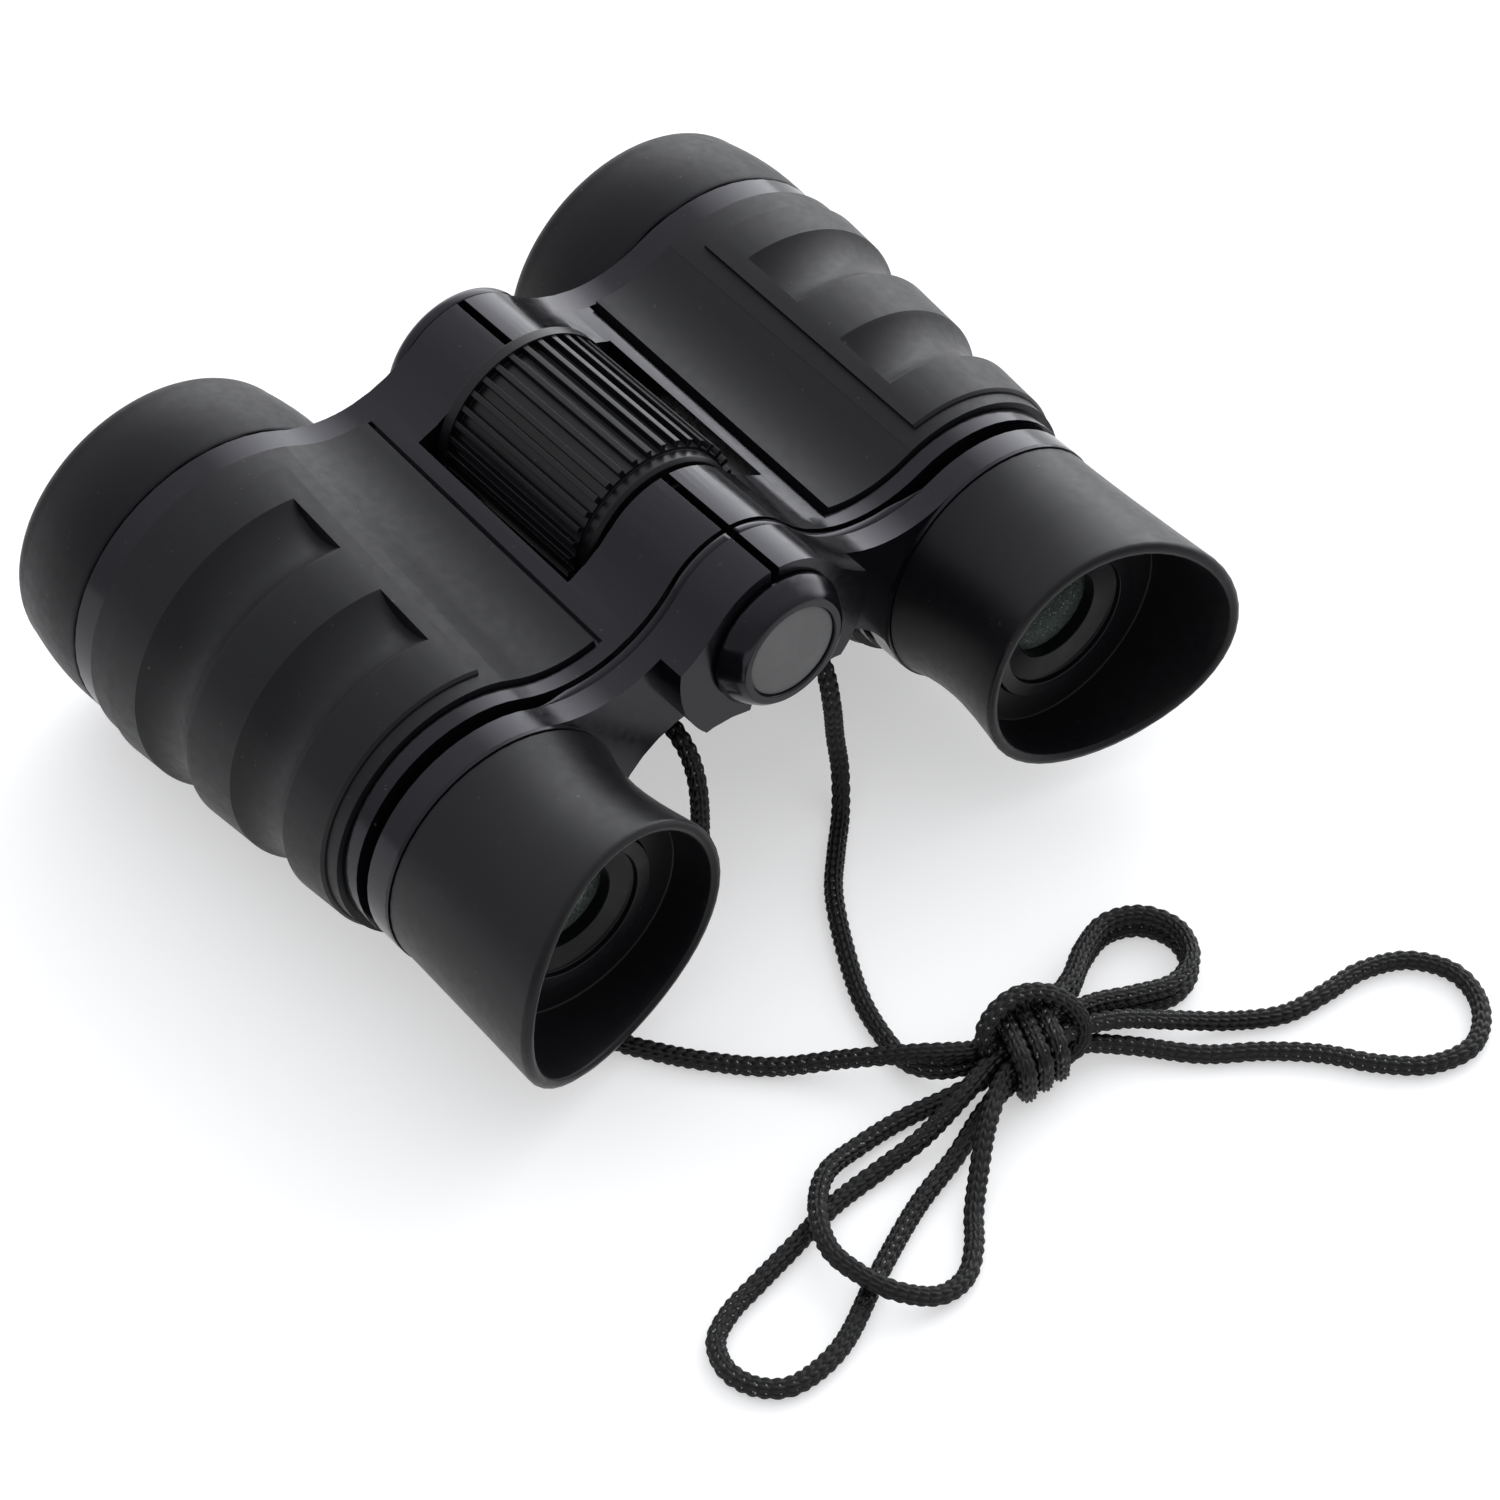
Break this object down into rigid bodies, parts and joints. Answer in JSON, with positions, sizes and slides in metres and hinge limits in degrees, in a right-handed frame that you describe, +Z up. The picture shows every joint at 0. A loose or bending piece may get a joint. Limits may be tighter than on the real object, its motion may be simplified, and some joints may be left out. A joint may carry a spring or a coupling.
{
  "type": "toy binoculars",
  "caption": "Compact toy binoculars with hinged tapered barrels, ribbed centre focus wheel, sliding eyepiece bridge, winged eyecups, grip armour and a knotted neck cord",
  "frame": {"origin": "on the floor under the middle of the binoculars, the neck cord left out", "axes": "+X the user's right, +Y the way the barrels look, +Z up"},
  "size_m": [0.1, 0.1291, 0.0407],
  "materials": {
    "gloss_shell": "glossy black moulded plastic with a faint blue cast",
    "soft_grip": "soft-touch matte black with a fine grain",
    "eyecup_rubber": "matte black rubber",
    "satin_black": "satin black plastic",
    "grained_grey": "dark grey, finely grained",
    "lens": "clear with a faint green cast",
    "steel": "plain turned steel",
    "cord": "black braided cord"
  },
  "bodies": {
    "left_half": {"left_body_shell": "gloss_shell", "left_grip_armour": "soft_grip", "left_hood": "soft_grip", "left_objective_lens": "lens", "left_lens_ring": "satin_black", "hinge_pin": "steel", "front_cap": "gloss_shell", "thrust_washers": "steel", "left_cord_lead": "cord", "right_cord_lead": "cord", "cord_loops": "cord", "cord_knot": "cord", "left_stop_knot": "cord"},
    "right_half": {"right_body_shell": "gloss_shell", "right_grip_armour": "soft_grip", "right_hood": "soft_grip", "right_objective_lens": "lens", "right_lens_ring": "satin_black", "right_stop_knot": "cord"},
    "wheel": {"focus_wheel": "satin_black"},
    "left_carriage": {"left_eyepiece_bridge": "gloss_shell", "left_draw_tube": "gloss_shell", "left_eyecup": "eyecup_rubber", "left_eyepiece_cell": "satin_black", "left_eye_lens": "lens", "focus_rod": "steel", "rear_cap": "gloss_shell", "rear_cap_disc": "grained_grey", "cap_screw": "steel"},
    "right_carriage": {"right_eyepiece_bridge": "gloss_shell", "right_draw_tube": "gloss_shell", "right_eyecup": "eyecup_rubber", "right_eyepiece_cell": "satin_black", "right_eye_lens": "lens"}
  },
  "joints": [
    {"name": "eye_spacing_hinge", "type": "hinge", "parent": "left_half", "child": "right_half", "pos_m": [0, 0.02, 0.03], "axis": [0, 1, 0], "range_deg": [0, 30], "deforming": ["right_cord_lead"]},
    {"name": "focus_spin", "type": "hinge", "parent": "left_half", "child": "wheel", "pos_m": [0, 0.007, 0.03], "axis": [0, 1, 0], "range_deg": [0, 360]},
    {"name": "left_focus_slide", "type": "slide", "parent": "left_half", "child": "left_carriage", "axis": [0, -1, 0], "range_m": [0, 0.005]},
    {"name": "right_focus_slide", "type": "slide", "parent": "right_half", "child": "right_carriage", "axis": [0, -1, 0], "range_m": [0, 0.005]}
  ],
  "couplings": [
    {"joint": "focus_spin", "follows": "left_focus_slide", "rad_per_m": 1256.6},
    {"joint": "right_focus_slide", "follows": "left_focus_slide", "ratio": 1}
  ]
}
